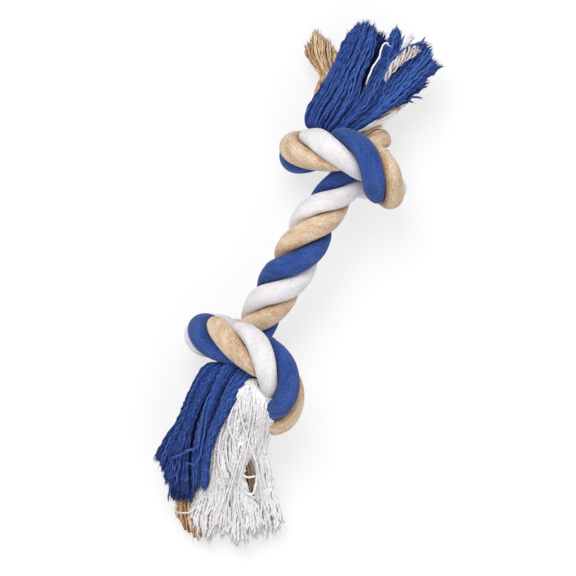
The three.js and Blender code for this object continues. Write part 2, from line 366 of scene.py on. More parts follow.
def tube_object(
    name: str,
    rings: Array,
    along_mm: Array,
    around_mm: Array,
    tone: Array | None,
    material: Material,
) -> Object:
    """Join rings of points into closed tubes, and make them one smooth object.

    Args:
        name: The object's name.
        rings: Points in millimetres: tube, ring, place in the ring, axis.
        along_mm: Each ring's place along its tube: tube, ring.
        around_mm: The girth at each place in a ring, with one more for the way back round.
        tone: Each tube's shade, or None.
        material: The surface.

    Returns:
        The object, linked to the scene.
    """
    count, rows, sides, _ = rings.shape
    index = np.arange(count * rows * sides).reshape(count, rows, sides)
    around = np.roll(index, -1, axis=2)
    quads = np.stack([index[:, :-1], around[:, :-1], around[:, 1:], index[:, 1:]], axis=-1)
    caps = np.concatenate([index[:, 0, ::-1], index[:, -1]])
    loops = np.concatenate([quads.ravel(), caps.ravel()]).astype(np.int32)
    sizes = np.repeat([4, sides], [quads.size // 4, len(caps)]).astype(np.int32)
    # Corners, not points, carry the texture's place, so that it closes at the seam.
    start, end = along_mm[:, :-1, None], along_mm[:, 1:, None]
    left, right = around_mm[:-1], around_mm[1:]
    corners = ((start, left), (start, right), (end, right), (end, left))
    quad_uv = np.stack([paired(*corner) for corner in corners], axis=-2)
    first_uv = paired(along_mm[:, :1], left[::-1])
    last_uv = paired(along_mm[:, -1:], left)
    uv = np.concatenate([part.reshape(-1, 2) for part in (quad_uv, first_uv, last_uv)])
    mesh = bpy.data.meshes.new(name)
    mesh.vertices.add(index.size)
    mesh.vertices.foreach_set("co", (rings * MM).astype(np.float32).ravel())
    mesh.loops.add(len(loops))
    mesh.loops.foreach_set("vertex_index", loops)
    mesh.polygons.add(len(sizes))
    starts = np.concatenate([[0], np.cumsum(sizes)[:-1]]).astype(np.int32)
    mesh.polygons.foreach_set("loop_start", starts)
    mesh.polygons.foreach_set("loop_total", sizes)
    mesh.polygons.foreach_set("use_smooth", np.ones(len(sizes), dtype=bool))
    mesh.update(calc_edges=True)
    layer = mesh.uv_layers.new(name="lay_mm")
    layer.data.foreach_set("uv", uv.astype(np.float32).ravel())
    if tone is not None:
        shades = np.repeat(tone, rows * sides).astype(np.float32)
        mesh.attributes.new("tone", "FLOAT", "POINT").data.foreach_set("value", shades)
    mesh.validate()
    mesh.materials.append(material)
    return place_object(name, mesh)


def unit(vectors: Array) -> Array:
    """Scale vectors to length one."""
    return vectors / np.linalg.norm(vectors, axis=-1, keepdims=True)


def lengths_along(points: Array) -> Array:
    """Give the length along a line at each of its points."""
    return np.concatenate([[0], np.cumsum(np.linalg.norm(np.diff(points, axis=0), axis=1))])


def directions_across(lines: Array) -> tuple[Array, Array]:
    """Give the directions over and beside each point of some lines.

    Args:
        lines: Points: line, point, axis.

    Returns:
        The way up that is square to the line, and the way beside it.
    """
    along = unit(np.gradient(lines, axis=1))
    over = unit(UP - along * (along @ UP)[..., None])
    return over, np.cross(along, over)


def cubic_curve(places: Array, values: Array, rate: Array, at: Array) -> Array:
    """Read a cubic curve through rows of values with given rates of change.

    Args:
        places: The rows' places, rising.
        values: The rows.
        rate: Each row's rate of change.
        at: Where the curve is read, of any shape.

    Returns:
        The values there, with one more axis.
    """
    k = np.clip(np.searchsorted(places, at) - 1, 0, len(places) - 2)
    width = (places[k + 1] - places[k])[..., None]
    t = (at - places[k])[..., None] / width
    return (
        values[k] * (2 * t**3 - 3 * t**2 + 1)
        + rate[k] * width * (t**3 - 2 * t**2 + t)
        + values[k + 1] * (-2 * t**3 + 3 * t**2)
        + rate[k + 1] * width * (t**3 - t**2)
    )


def curve_through(places: Array, values: Array, at: Array) -> Array:
    """Read a smooth curve through rows of values, with one more axis than at has."""
    return cubic_curve(places, values, np.gradient(values, places, axis=0), at)


def steady_curve(places: Array, values: Array, at: Array) -> Array:
    """Read a smooth curve through points that never runs backwards.

    Args:
        places: The points' places, rising.
        values: The points' values, rising.
        at: Where the curve is read.

    Returns:
        The curve's values, straight on past both ends.
    """
    slope = np.diff(values) / np.diff(places)
    rate = np.concatenate([slope[:1], 2 / (1 / slope[:-1] + 1 / slope[1:]), slope[-1:]])
    inside = cubic_curve(places, values[:, None], rate[:, None], at)[..., 0]
    before = values[0] + (at - places[0]) * rate[0]
    after = values[-1] + (at - places[-1]) * rate[-1]
    return np.where(at < places[0], before, np.where(at > places[-1], after, inside))


def press(height: Array, softness_mm: float) -> Array:
    """Press heights in millimetres onto the floor, over a soft range above and below it."""
    return (height + np.sqrt(height**2 + softness_mm**2)) / 2


def from_photo(x: Array, y: Array, height_share: Array) -> Array:
    """Turn points of the photograph into the frame.

    Args:
        x: Pixels to the right.
        y: Pixels down.
        height_share: Heights above the rope's middle, in rope diameters.

    Returns:
        The points in millimetres.
    """
    right = (x - PHOTO_ORIGIN[0]) * PIXEL
    above = (PHOTO_ORIGIN[1] - y) * PIXEL
    cos, sin = math.cos(PHOTO_TURN), math.sin(PHOTO_TURN)
    return np.stack(
        [
            right * cos - above * sin + ROUTE_SHIFT[0],
            right * sin + above * cos + ROUTE_SHIFT[1],
            height_share * ROPE_DIAMETER + ROUTE_SHIFT[2],
        ],
        axis=-1,
    )


@dataclass
class RopeRoute:
    """The rope's middle line through both knots, with a frame that doesn't turn about it."""

    # The CAD model's route: right, along, up and the rope's thickness, in rope diameters.
    points: Sequence[tuple[float, float, float, float]] = (
        (0.55, -1.9, 0.05, 1.0),
        (0.25, -1.35, 0.15, 1.0),
        (0.0, -0.7, 0.15, 0.9),
        (0.4, -0.15, 0.05, 0.8),
        (0.65, 0.2, -0.6, 0.8),
        (0.3, 0.45, -1.25, 0.8),
        (-0.4, 0.5, -1.45, 0.8),
        (-1.05, 0.25, -1.15, 0.8),
        (-1.3, 0.05, -0.45, 0.93),
        (-1.0, 0.1, 0.2, 1.0),
        (-0.5, 0.3, 0.55, 1.0),
        (-0.05, 0.4, 0.75, 1.0),
        (0.4, 0.35, 0.85, 1.0),
        (0.85, 0.15, 0.8, 1.0),
        (1.15, -0.2, 0.5, 0.93),
        (1.3, -0.65, 0.0, 0.8),
        (1.0, -0.85, -0.5, 0.8),
        (0.35, -0.7, -0.85, 0.8),
        (-0.25, -0.3, -0.75, 0.8),
        (-0.3, 0.3, -0.5, 0.8),
        (-0.3, 0.95, -0.4, 0.9),
        (-0.35, 1.55, -0.25, 1.04),
        (-0.3, 2.25, -0.1, 1.08),
        (-0.35, 3.0, 0.05, 1.08),
        (-0.45, 3.65, 0.05, 1.06),
        (-0.35, 4.3, 0.0, 0.9),
        (-0.25, 5.0, 0.05, 0.8),
        (-0.05, 5.7, -0.25, 0.8),
        (-0.3, 5.95, -1.1, 0.8),
        (-0.8, 5.75, -1.35, 0.8),
        (-1.25, 5.2, -1.45, 0.8),
        (-1.6, 4.75, -1.0, 0.93),
        (-1.6, 4.7, -0.15, 1.0),
        (-1.15, 5.05, 0.4, 1.0),
        (-0.75, 5.3, 0.8, 1.0),
        (-0.25, 5.4, 0.9, 1.0),
        (0.25, 5.25, 0.85, 1.0),
        (0.5, 5.05, 0.6, 0.93),
        (0.7, 5.05, 0.05, 0.8),
        (0.55, 5.15, -0.65, 0.8),
        (0.0, 4.95, -0.95, 0.8),
        (-0.5, 4.9, -0.9, 0.8),
        (-1.05, 5.45, -0.45, 0.8),
        (-1.0, 5.9, -0.35, 0.9),
        (-1.05, 6.5, -0.2, 1.0),
        (-1.05, 7.05, -0.1, 1.0),
    )
    # Turns of the lay, counted from the middle, at places on the list of points.
    lay_turns: Sequence[tuple[float, float]] = (
        (1.6, -5.655),
        (9.5, -3.055),
        (11.2, -2.71),
        (14, -2.18),
        (20.3, -0.62),
        (22.45, 0),
        (25, 0.72),
        (32, 2.42),
        (33.7, 2.8),
        (36, 3.225),
        (43.3, 4.43),
    )
    per_span: int = 40
    middle_place: float = 22.45
    place: Array = field(init=False)
    point: Array = field(init=False)
    diameter: Array = field(init=False)
    along: Array = field(init=False)
    normal: Array = field(init=False)
    side: Array = field(init=False)
    length: Array = field(init=False)
    turns: Array = field(init=False)

    def __post_init__(self) -> None:
        """Lay the spline out as close stations."""
        table = np.array(self.points)
        steps = (len(table) - 3) * self.per_span
        self.place = 1 + np.arange(steps + 1) / self.per_span
        span = np.minimum((self.place - 1).astype(int), len(table) - 4)
        t = (self.place - 1 - span)[:, None]
        mixed = (
            table[span] * (1 - t) ** 3
            + table[span + 1] * (3 * t**3 - 6 * t**2 + 4)
            + table[span + 2] * (-3 * t**3 + 3 * t**2 + 3 * t + 1)
            + table[span + 3] * t**3
        ) / 6
        self.point = mixed[:, :3] * ROPE_DIAMETER + np.array(ROUTE_SHIFT)
        self.diameter = mixed[:, 3] * ROPE_DIAMETER
        self.along = unit(np.gradient(self.point, axis=0))
        self.length = lengths_along(self.point)
        self._carry_frames()
        places, turned = np.array(self.lay_turns).T
        marks = np.interp(places, self.place, self.length)
        self.turns = steady_curve(marks, turned, self.length)

    def _carry_frames(self) -> None:
        """Carry the frame both ways from the middle, where its normal points up."""
        middle = round((self.middle_place - 1) * self.per_span)
        self.normal = np.zeros_like(self.point)
        self.normal[middle] = unit(UP - UP @ self.along[middle] * self.along[middle])
        for way in (1, -1):
            k = middle
            while 0 <= k + way < len(self.point):
                step = self.point[k + way] - self.point[k]
                mirror = 2 / (step @ step)
                normal = self.normal[k] - mirror * (step @ self.normal[k]) * step
                along = self.along[k] - mirror * (step @ self.along[k]) * step
                change = self.along[k + way] - along
                fold = 2 / max(change @ change, 1e-12)
                self.normal[k + way] = normal - fold * (change @ normal) * change
                k += way
        self.side = np.cross(self.along, self.normal)

    def length_at(self, place: float) -> float:
        """Give the length along the rope at a place on the list of points."""
        return float(np.interp(place, self.place, self.length))

    def read(self, values: Array, at: Array) -> Array:
        """Read a station value at lengths along the rope.

        Args:
            values: One row for each station.
            at: Lengths in millimetres.

        Returns:
            The values there.
        """
        if values.ndim == 1:
            return np.interp(at, self.length, values)
        columns = [np.interp(at, self.length, column) for column in values.T]
        return np.stack(columns, axis=-1)


@dataclass
class Strand:
    """One of the rope's three strands, a helix of brushed cotton through both knots."""

    dye: Dye
    route: RopeRoute
    first_place: float = 2.55
    last_place: float = 42.45
    ring_step_mm: float = 0.8
    sides: int = 48
    # Its middle's reach and its oval section, as shares of the rope's thickness.
    centre_share: float = 0.27
    radial_share: float = 0.23
    across_share: float = ACROSS_SHARE
    # The gap to the next strand, how sharp the corners there are, and how full it is.
    groove_mm: float = 0.08
    rounding: float = 9.0
    fullness: float = 1.02
    taper_mm: float = 9.0
    end_share: float = 0.5
    press_mm: float = 0.7
    # The yarns pull it a little thicker and thinner: each wave's length and its depth.
    swell_waves_mm: Sequence[tuple[float, float]] = ((37.0, 0.012), (17.0, 0.008), (9.0, 0.006))
    # How much longer it is than the rope's middle line, for the scale of its texture.
    lay_stretch: float = 1.15
    seed: int = 11

    def outward(self, at: Array) -> tuple[Array, Array]:
        """Give the strand's own directions at lengths along the rope.

        Args:
            at: Lengths in millimetres.

        Returns:
            The way out of the rope and the way round its girth.
        """
        turn = self.route.read(self.route.turns, at) + self.dye.value / len(Dye)
        angle = 2 * np.pi * turn[:, None]
        normal = unit(self.route.read(self.route.normal, at))
        side = unit(self.route.read(self.route.side, at))
        out = normal * np.cos(angle) + side * np.sin(angle)
        girth = side * np.cos(angle) - normal * np.sin(angle)
        return out, girth

    def centre_line(self, at: Array) -> Array:
        """Find the strand's middle.

        Args:
            at: Lengths along the rope, in millimetres.

        Returns:
            The middle there, in millimetres.
        """
        out, _ = self.outward(at)
        reach = self.centre_share * self.route.read(self.route.diameter, at)
        return self.route.read(self.route.point, at) + out * reach[:, None]

    def _radius(self, angle: Array) -> Array:
        """Give the section's radius about its own middle, as a share of the rope.

        Args:
            angle: Angles from the way out of the rope.

        Returns:
            The radii: an oval, cut off where the next strand presses on it.
        """
        cos, sin = np.cos(angle), np.sin(angle)
        oval = 1 / np.sqrt((cos / self.radial_share) ** 2 + (sin / self.across_share) ** 2)
        sector = math.pi / len(Dye)
        reach = self.centre_share * math.sin(sector) - self.groove_mm / ROPE_DIAMETER
        facing = math.cos(sector) * np.abs(sin) - math.sin(sector) * cos
        flank = reach / np.maximum(facing, 1e-3)
        p = self.rounding
        return self.fullness * (oval**-p + flank**-p) ** (-1 / p)

    def build(self) -> Object:
        """Build the strand's mesh.

        Returns:
            The strand.
        """
        start = self.route.length_at(self.first_place)
        end = self.route.length_at(self.last_place)
        at = np.linspace(start, end, round((end - start) / self.ring_step_mm))
        out, girth = self.outward(at)
        centre = self.centre_line(at)
        # The seam of the texture is on the side that faces the rope's middle.
        angle = np.pi + 2 * np.pi * np.arange(self.sides) / self.sides
        from_end = np.clip(np.minimum(at - start, end - at) / self.taper_mm, 0, 1)
        bulge = np.sqrt(1 - (1 - from_end) ** 2)
        taper = self.end_share + (1 - self.end_share) * bulge
        rng = np.random.default_rng(self.seed + self.dye.value)
        swell = np.ones(len(at))
        for wave_mm, depth in self.swell_waves_mm:
            swell += depth * np.sin(2 * np.pi * (at / wave_mm + rng.random()))
        diameter = self.route.read(self.route.diameter, at)
        size = (diameter * taper * swell)[:, None] * self._radius(angle)
        rings = (
            centre[:, None]
            + out[:, None] * (size * np.cos(angle))[..., None]
            + girth[:, None] * (size * np.sin(angle))[..., None]
        )
        rings[..., 2] = press(rings[..., 2], self.press_mm)
        around = np.concatenate([angle, angle[:1] + 2 * np.pi]) - np.pi
        strand = tube_object(
            f"{self.dye.word}_strand",
            rings[None],
            at[None] * self.lay_stretch,
            around * self.across_share * ROPE_DIAMETER,
            None,
            COTTONS[self.dye].brushed_strand(),
        )
        self._declare(strand, centre)
        return strand

    def _declare(self, strand: Object, centre: Array) -> None:
        """Hide the CAD parts that the strand replaces, set its mesh in place, and log its length.

        Args:
            strand: The strand's object.
            centre: The strand's middle line, in millimetres.
        """
        word = self.dye.word
        names = [f"{part}_{word}_strand" for part in ("lower_knot", "middle", "upper_knot")]
        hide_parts(*names)
        bend = self.route.read(self.route.point, np.array([BEND_START_MM, BEND_END_MM])) * MM
        bend[:, 2] = (bend[0, 2] + bend[1, 2]) / 2
        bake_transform(strand)
        length = float(lengths_along(centre)[-1]) * MM
        LOG.info("%s: %.0f mm along its middle", strand.name, length / MM)


@dataclass(frozen=True)
class Lock:
    """A lock of yarns, side by side and in layers, that parts from its neighbours."""

    # Each station: left x, left y, right x and right y in the photograph's pixels, then the
    # height above the rope's middle and the thickness, in rope diameters.
    stations: Sequence[tuple[float, float, float, float, float, float]]
    # Where the yarns end, from left to right.
    tips: Sequence[Pixel]
    # The part of the strand's end that it comes from, from its left side to its right one.
    root: tuple[float, float] = (0.0, 1.0)
    # Its middle shade: the deep locks under the others get a low one, as painted shade.
    tone: float = 0.42


@dataclass(frozen=True)
class Wisp:
    """A thread or a few yarns that leave their bunch and go their own way."""

    # Each point: x and y in the photograph's pixels, and the height in rope diameters.
    path: Sequence[Point]
    yarns: int = 1
    radius_mm: float = 0.0
    # How much tighter it starts than it ends, as a share of its radius each way.
    flare: float = 0.0
    # How often its yarns go round it, or round their ply, and its plies round each other.
    turns: float = 0.0
    plies: int = 1
    ply_turns: float = 0.0
    tone: float = 0.5
    thickness: float = 1.0


@dataclass
class YarnBunch:
    """One colour of a tassel: loose yarns that fan out from the end of their strand."""

    dye: Dye
    rope_end: RopeEnd
    locks: Sequence[Lock]
    wisps: Sequence[Wisp] = ()
    # The room that each yarn has, the share of it that it fills, and the ridges of its plies.
    yarn_mm: float = 1.4
    fullness: float = 0.93
    unevenness: float = 0.13
    ply_share: float = 0.15
    twist_mm: float = 16.0
    rows: int = 42
    sides: int = 6
    # A yarn's thickness at its root, how slowly it grows, and its last two rings.
    root_thickness: float = 0.6
    growth_mm: float = 40.0
    tip_thickness: tuple[float, float] = (0.92, 0.6)
    # The yarns across and through a tuft, and how far they draw together at the tips.
    tuft_width: int = 3
    tuft_depth: int = 2
    clump_share: float = 0.22
    # How ragged the tips are, and the shortest and longest yarn as shares of the lock.
    tuft_ragged_mm: float = 0.7
    yarn_ragged_mm: float = 0.35
    length_range: tuple[float, float] = (0.3, 1.03)
    # How the yarns stray from a straight lie.
    tuft_wave_mm: float = 0.14
    yarn_wave_mm: float = 0.26
    wave_growth_mm: float = 45.0
    tuft_lift_mm: float = 0.35
    wander: float = 0.03
    # Half the strand's end, as a share of the rope, and how softly the floor bears the yarns.
    root_share: float = 0.17
    press_mm: float = 0.4
    # How shades differ between yarns, and how much painted shade darkens a lock's edges.
    tone_spread: float = 0.13
    edge_shade: float = 1.6
    # The fibres at each cut end.
    end_fibres: int = 3
    fibre_mm: float = 0.26
    fibre_reach_mm: float = 2.0
    fibre_rows: int = 6
    seed: int = 1

    @property
    def name(self) -> str:
        """The bunch's CAD node."""
        return f"{self.rope_end.value}_{self.dye.word}_tassel"

    def _root(self, route: RopeRoute) -> tuple[Array, Array]:
        """Find where the strand ends and the yarns begin.

        Args:
            route: The rope's route.

        Returns:
            The strand's middle there, and the way from it to the strand's right side.
        """
        at = np.array([route.length_at(ROOT_PLACES[self.rope_end])])
        centre = Strand(self.dye, route).centre_line(at)[0]
        sideways = unit(np.cross(unit(route.read(route.along, at))[0], UP))
        return centre, sideways * self.root_share * route.read(route.diameter, at)[0]

    def build(self, route: RopeRoute) -> None:
        """Build the bunch's yarns as one mesh and their frayed ends as another.

        Args:
            route: The rope's route.
        """
        rng = np.random.default_rng(self.seed)
        centre, sideways = self._root(route)
        parts = [self._lay_lock(rng, lock, centre, sideways) for lock in self.locks]
        thickness = [1.0] * sum(len(part[0]) for part in parts)
        for wisp in self.wisps:
            parts.append(self._lay_wisp(rng, wisp, centre))
            thickness += [wisp.thickness] * wisp.yarns
        line, s, tone = (np.concatenate(column) for column in zip(*parts))
        half = self.yarn_mm / 2
        line[..., 2] = np.maximum(press(line[..., 2] - half, self.press_mm) + half, half)
        uneven = rng.uniform(1 - self.unevenness, 1 + self.unevenness, (len(line), 1))
        radius = half * np.array(thickness)[:, None] * uneven * self.fullness
        radius = radius * np.clip(self.root_thickness + s / self.growth_mm, 0, 1)
        radius[:, -2:] *= self.tip_thickness
        self._mesh(rng, "yarns", line, s, radius, tone, self.sides)
        self._fray(rng, line, radius, tone)
        LOG.info("%s: %d yarns", self.name, len(line))

    def _lay_lock(
        self, rng: Rng, lock: Lock, centre: Array, sideways: Array
    ) -> tuple[Array, Array, Array]:
        """Lay a lock's yarns side by side in layers, from the strand's end to the tips.

        Args:
            rng: Where the chances come from.
            lock: The lock.
            centre: The strand's middle at its end.
            sideways: From there to the strand's right side.

        Returns:
            Each yarn's points and lengths along it, and its shade.
        """
        table = np.array(lock.stations)
        from_left, from_right = (2 * share - 1 for share in lock.root)
        left = from_photo(table[:, 0], table[:, 1], table[:, 4])
        right = from_photo(table[:, 2], table[:, 3], table[:, 4])
        left = np.vstack([centre + sideways * from_left, left])
        right = np.vstack([centre + sideways * from_right, right])
        thick = np.concatenate([[2 * np.linalg.norm(sideways)], table[:, 5] * ROPE_DIAMETER])
        marks = lengths_along((left + right) / 2)
        across = round(np.linalg.norm(right - left, axis=1)[:-1].max() / self.yarn_mm)
        layers = round(thick[1:].max() / self.yarn_mm)
        column, layer = (grid.ravel() for grid in np.mgrid[0:across, 0:layers])
        count = len(column)
        # Every second layer lies half a yarn to the side, as bricks do.
        place = column + 0.5 * (layer % 2) + 0.25 + rng.uniform(0, 0.5, count)
        way = (place / (across + 0.5))[:, None]
        level = (2 * layer + 1) / layers - 1 + rng.uniform(-0.6, 0.6, count) / layers
        tufts = (column // self.tuft_width, layer // self.tuft_depth)
        tuft = np.unique(np.stack(tufts), axis=1, return_inverse=True)[1].ravel()
        ragged, dyed, lifted, *_ = rng.normal(0, 1, (tuft.max() + 1, 5))[tuft].T
        ends = self._ends(lock, marks, left, right, way[:, 0])
        ends = ends + self.tuft_ragged_mm * ragged - 0.5 * self.fibre_reach_mm
        ends = ends + self.yarn_ragged_mm * rng.normal(0, 1, count)
        t = np.linspace(0, 1, self.rows)[None]
        shortest, longest = (share * marks[-1] for share in self.length_range)
        s = t * np.clip(ends, shortest, longest)[:, None]
        # The yarns of a tuft draw together towards their tips.
        hub = np.bincount(tuft, way[:, 0])[tuft] / np.bincount(tuft)[tuft]
        way = way + (hub[:, None] - way) * self.clump_share * t**3
        # Some yarns cross their neighbours on the way.
        wander = self.wander * rng.normal(0, 1, (count, 1))
        way = np.clip(way + wander * np.sin(2 * np.pi * (t + rng.random((count, 1)))), 0, 1)
        line = curve_through(marks, left, s) * (1 - way[..., None])
        line = line + curve_through(marks, right, s) * way[..., None]
        # A lock is thickest in its middle.
        depth = curve_through(marks, thick[:, None], s)[..., 0] - self.yarn_mm
        fan = np.sqrt(np.clip(1 - 0.9 * (2 * way - 1) ** 2, 0.05, 1))
        line[..., 2] += level[:, None] * fan * depth / 2
        hump = np.sin(np.pi * np.clip(s / marks[-1], 0, 1) ** 0.7)
        line[..., 2] += self.tuft_lift_mm * lifted[:, None] * hump
        line = line + self._waves(rng, s, tuft)
        # A yarn's own dye shows most, then painted shade by how high it lies, lower yarns
        # darker, then its tuft's dye.
        tone = 1.2 * rng.normal(0, 1, count) + 0.4 * dyed + 0.8 * level
        # Painted shade: a lock's edges are drawn darker, as in the shade where locks meet.
        tone = tone - self.edge_shade * (2 * way[:, -1] - 1) ** 4
        tone = lock.tone + self.tone_spread * tone
        return line, s, np.clip(tone, 0.02, 0.9)

    def _ends(self, lock: Lock, marks: Array, left: Array, right: Array, way: Array) -> Array:
        """Find how long each yarn is, from the outline of the lock's tips.

        Args:
            lock: The lock.
            marks: Lengths along the lock's middle at its stations.
            left: The left edge there.
            right: The right edge there.
            way: Each yarn's place from the left edge, 0, to the right one, 1.

        Returns:
            The yarns' lengths in millimetres.
        """
        # The nearest place to each tip is sought on a fine grid of the lock.
        s = np.linspace(*self.length_range, 90) * marks[-1]
        w = np.linspace(0, 1, 41)[:, None, None]
        sheet = curve_through(marks, left, s) * (1 - w) + curve_through(marks, right, s) * w
        tips = np.array(lock.tips, dtype=float)
        tips = from_photo(tips[:, 0], tips[:, 1], np.zeros(len(tips)))
        gap = np.linalg.norm((sheet - tips[:, None, None])[..., :2], axis=-1)
        nearest = gap.reshape(len(tips), -1).argmin(axis=1)
        row, rank = np.unravel_index(nearest, gap.shape[1:])
        order = np.argsort(row, kind="stable")
        return np.interp(way, w[row[order], 0, 0], s[rank[order]])

    def _lay_wisp(self, rng: Rng, wisp: Wisp, centre: Array) -> tuple[Array, Array, Array]:
        """Lay a wisp along its own path.

        Args:
            rng: Where the chances come from.
            wisp: The wisp.
            centre: Where its yarns leave the strand.

        Returns:
            Each yarn's points and lengths along it, and its shade.
        """
        table = np.array(wisp.path)
        points = np.vstack([centre, from_photo(table[:, 0], table[:, 1], table[:, 2])])
        marks = lengths_along(points)
        several = wisp.yarns > 1
        plied = wisp.plies > 1
        # Several yarns end a little apart, in the last twentieth of the path.
        ends = 1 - 0.05 * rng.random((wisp.yarns, 1)) * several
        t = np.linspace(0, 1, self.rows)[None] * ends
        line = curve_through(marks, points, t * marks[-1])
        over, beside = directions_across(line)
        rank = np.arange(wisp.yarns)
        ply = 2 * np.pi * ((rank % wisp.plies / wisp.plies)[:, None] + wisp.ply_turns * t)
        own = 2 * np.pi * (rng.random((wisp.yarns, 1)) + wisp.turns * t)
        own_radius = wisp.radius_mm * np.sqrt(rng.uniform(0.2, 1, (wisp.yarns, 1)))
        if plied:
            own_radius = own_radius / 2
        ply_radius = wisp.radius_mm / 2 * plied
        open_up = 1 + wisp.flare * (2 * t - 1)
        rise = (own_radius * np.sin(own) + ply_radius * np.sin(ply)) * open_up
        drift = (own_radius * np.cos(own) + ply_radius * np.cos(ply)) * open_up
        line = line + over * rise[..., None] + beside * drift[..., None]
        tone = wisp.tone + 0.1 * rng.normal(0, 1, wisp.yarns) * several
        return line, t * marks[-1], np.clip(tone, 0.02, 0.98)

    def _waves(self, rng: Rng, s: Array, tuft: Array) -> Array:
        """Make the crimp that the lay leaves in the yarns.

        Args:
            rng: Where the chances come from.
            s: Lengths along each yarn, in millimetres.
            tuft: The tuft that each yarn belongs to.

        Returns:
            Offsets in millimetres.
        """
        offsets = np.zeros((*s.shape, 3))
        grow = np.clip(s / self.wave_growth_mm, 0, 1)
        for wave_mm, share, own in CRIMP_WAVES:
            # Its pitch, its depth and its start on each axis.
            chance = rng.random((len(s) if own else tuft.max() + 1, 5))
            if not own:
                chance = chance[tuft]
            pitch = wave_mm * (0.8 + 0.4 * chance[:, :1])
            depth_mm = share * (self.yarn_wave_mm if own else self.tuft_wave_mm)
            depth = depth_mm * (0.5 + chance[:, 1:2]) * grow
            phase = 2 * np.pi * (s / pitch)[..., None] + 2 * np.pi * chance[:, None, 2:]
            offsets += depth[..., None] * np.sin(phase)
        return offsets

    def _fray(self, rng: Rng, line: Array, radius: Array, tone: Array) -> None:
        """Open each yarn's cut end into fine fibres.

        Args:
            rng: Where the chances come from.
            line: Each yarn's points, in millimetres.
            radius: The yarn's radius there.
            tone: Each yarn's shade.
        """
        yarn = np.repeat(np.arange(len(line)), self.end_fibres)
        count = len(yarn)
        # Each fibre starts somewhere in the yarn's end, and splays and bends as it goes.
        start = line[yarn, -1] + rng.normal(0, 0.35, (count, 3)) * radius[yarn, -3][:, None]
        way = unit(line[:, -1] - line[:, -4])[yarn, None]
        reach = self.fibre_reach_mm * rng.uniform(0.35, 1.0, (count, 1, 1))
        t = np.linspace(-0.5, 1, self.fibre_rows)[None, :, None]
        splay = rng.normal(0, 0.28, (count, 1, 3)) * np.maximum(t, 0)
        bend = rng.normal(0, 0.25, (count, 1, 3)) * np.maximum(t, 0) ** 2
        fibres = start[:, None] + reach * (way * t + splay + bend)
        fibres[..., 2] = np.maximum(fibres[..., 2], self.fibre_mm)
        s = np.broadcast_to((t * reach)[..., 0], fibres.shape[:2])
        thin = self.fibre_mm / 2 * np.linspace(1.2, 0.35, self.fibre_rows) * np.ones((count, 1))
        self._mesh(rng, "frayed_ends", fibres, s, thin, np.clip(tone[yarn] + 0.12, 0, 1), 3)

    def _mesh(
        self, rng: Rng, piece: str, line: Array, s: Array, radius: Array, tone: Array, sides: int
    ) -> None:
        """Args:
            rng: Where the chances come from.
            piece: What the mesh is, as its name says it.
            line: Points along each one, in millimetres.
            s: Lengths along each one.
            radius: The radius at each point.
            tone: Each one's shade.
            sides: How many sides it has round.
        """
        over, beside = directions_across(line)
        # A yarn has three plies that turn about it, which show as three soft ridges. Each
        # one starts at a place of its own in the texture.
        angle = 2 * np.pi * np.arange(sides) / sides
        along_mm = s + 100 * rng.random((len(s), 1))
        turned = (angle + 2 * np.pi * along_mm[..., None] / self.twist_mm)[..., None]
        ridge = (1 + self.ply_share * np.cos(3 * angle))[:, None]
        ring = over[:, :, None] * np.cos(turned) + beside[:, :, None] * np.sin(turned)
        rings = line[:, :, None] + ring * ridge * radius[..., None, None]
        rings[..., 2] = np.maximum(rings[..., 2], FLOOR_GAP_MM)
        around = np.concatenate([angle, [2 * np.pi]]) * radius.mean()
        end = self.rope_end.value
        name = f"{end}_{self.dye.word}_{piece}"
        cotton = COTTONS[self.dye].loose_yarn()
        mesh = tube_object(name, rings, along_mm, around, tone, cotton)
        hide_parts(self.name)
        f"{self.dye.word}_cotton"
        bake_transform(mesh)


